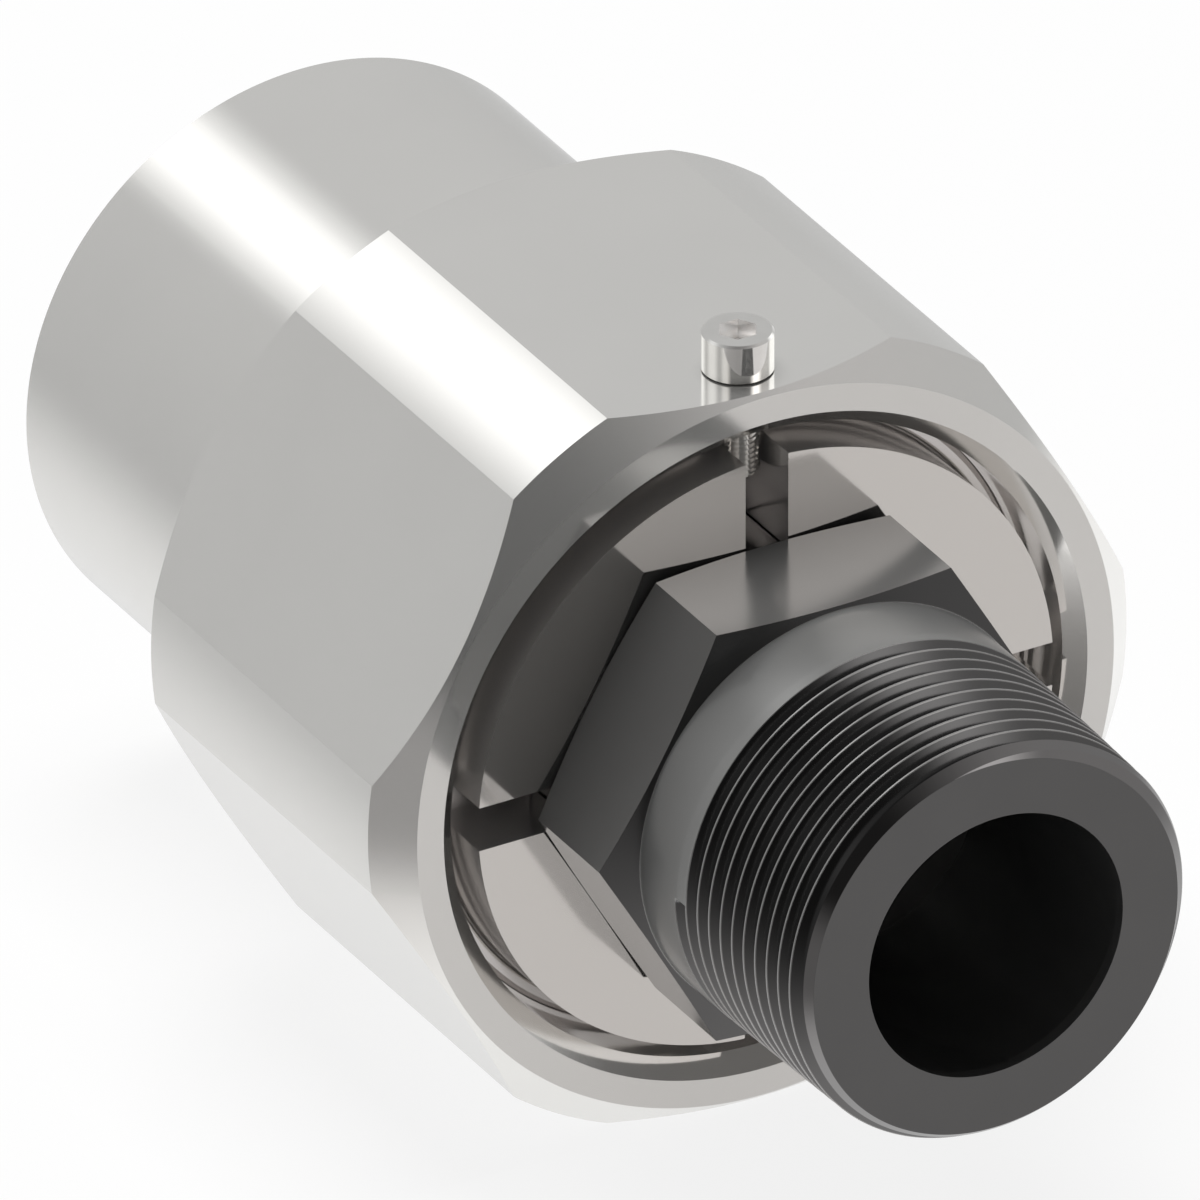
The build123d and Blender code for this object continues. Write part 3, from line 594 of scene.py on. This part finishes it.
def studioWorld(s):
    world = bpy.data.worlds.new("studioWorld")
    scene.world = world
    world.use_nodes = True
    tree = world.node_tree
    tree.nodes.clear()
    way = addNode(tree, "ShaderNodeTexCoord").outputs["Generated"]
    forward, sideways, height = addNode(tree, "ShaderNodeSeparateXYZ", inputs={0: way}).outputs
    level = addNode(tree, "ShaderNodeMapRange", {"interpolation_type": "SMOOTHSTEP"}, {
        "Value": height, "From Min": s["fade"][0], "From Max": s["fade"][1], "To Min": s["eyeLevel"],
        "To Max": s["below"]}).outputs["Result"]
    for direction, full, gone, strength in s["lobes"]:
        towardsLobe = addNode(tree, "ShaderNodeVectorMath", {"operation": "DOT_PRODUCT"}, {
            0: way, 1: Vector(direction).normalized()}).outputs["Value"]
        angle = addNode(tree, "ShaderNodeMath", {"operation": "ARCCOSINE"}, {0: towardsLobe}).outputs[0]
        share = addNode(tree, "ShaderNodeMapRange", {"interpolation_type": "SMOOTHSTEP"}, {
            "Value": angle, "From Min": math.radians(gone), "From Max": math.radians(full)}).outputs["Result"]
        level = addNode(tree, "ShaderNodeMix", {"data_type": "FLOAT"}, {0: share, 2: level, 3: strength}).outputs[0]
    camera, mirrored = seenDirectly(tree)
    warm = addNode(tree, "ShaderNodeMapRange", inputs={
        "Value": forward, "From Min": s["warmFrom"][0], "From Max": s["warmFrom"][1]})
    warm = addNode(tree, "ShaderNodeMath", {"operation": "MULTIPLY"}, {0: warm.outputs["Result"], 1: mirrored})
    tint = addNode(tree, "ShaderNodeMix", {"data_type": "RGBA"}, {
        "Factor": warm.outputs[0], 6: (1, 1, 1, 1), 7: linear(s["warm"])})
    strength = addNode(tree, "ShaderNodeMix", {"data_type": "FLOAT"}, {
        0: mirrored, 2: s["worldFill"], 3: level}).outputs[0]
    strength = addNode(tree, "ShaderNodeMix", {"data_type": "FLOAT"}, {0: camera, 2: strength, 3: 1.0}).outputs[0]
    light = addNode(tree, "ShaderNodeBackground", inputs={"Color": tint.outputs[2], "Strength": strength})
    addNode(tree, "ShaderNodeOutputWorld", inputs={"Surface": light.outputs[0]})


def studioFloor(s):
    half, z = s["floorHalf"] * mm, s["floorZ"] * mm
    mesh = bpy.data.meshes.new("paleFloor")
    mesh.from_pydata([(-half, -half, z), (half, -half, z), (half, half, z), (-half, half, z)], [], [(0, 1, 2, 3)])
    floor = bpy.data.objects.new("paleFloor", mesh)
    scene.collection.objects.link(floor)
    material = bpy.data.materials.new("paleFloorPaint")
    material.use_nodes = True
    tree = material.node_tree
    tree.nodes.clear()
    camera, mirrored = seenDirectly(tree)
    paint = addNode(tree, "ShaderNodeBsdfDiffuse", inputs={"Color": linear(s["floor"])})
    glow = addNode(tree, "ShaderNodeEmission", inputs={"Color": (1, 1, 1, 1), "Strength": 1.0})
    reach = addNode(tree, "ShaderNodeVectorMath", {"operation": "LENGTH"}, {
        0: addNode(tree, "ShaderNodeTexCoord").outputs["Object"]}).outputs["Value"]
    shine = addNode(tree, "ShaderNodeMapRange", inputs={
        "Value": reach, "From Min": s["floorFade"][0] * mm, "From Max": s["floorFade"][1] * mm,
        "To Min": s["floorGlow"][0], "To Max": s["floorGlow"][1]})
    share = addNode(tree, "ShaderNodeMath", {"operation": "MULTIPLY"}, {0: camera, 1: shine.outputs["Result"]})
    share = addNode(tree, "ShaderNodeMath", {"operation": "MAXIMUM"}, {0: share.outputs[0], 1: mirrored})
    mix = addNode(tree, "ShaderNodeMixShader", inputs={0: share.outputs[0], 1: paint.outputs[0], 2: glow.outputs[0]})
    addNode(tree, "ShaderNodeOutputMaterial", inputs={"Surface": mix.outputs[0]})
    mesh.materials.append(material)
    floor.visible_glossy = False        # metal mirrors the surroundings, which are as white below as the floor


def softLamp(s):
    lamp = bpy.data.lights.new("softLamp", "AREA")
    lamp.size = s["size"] * mm
    lamp.energy = s["power"]
    box = bpy.data.objects.new("softLamp", lamp)
    scene.collection.objects.link(box)
    way = Vector(s["direction"]).normalized()
    box.location = target + way * s["distance"] * mm
    box.rotation_mode = "QUATERNION"
    box.rotation_quaternion = way.to_track_quat("Z", "Y")
    box.visible_glossy = False


studioWorld(studio)
studioFloor(studio)
softLamp(studio["lamp"])
scene.view_settings.view_transform = "Standard"
print("studio set")
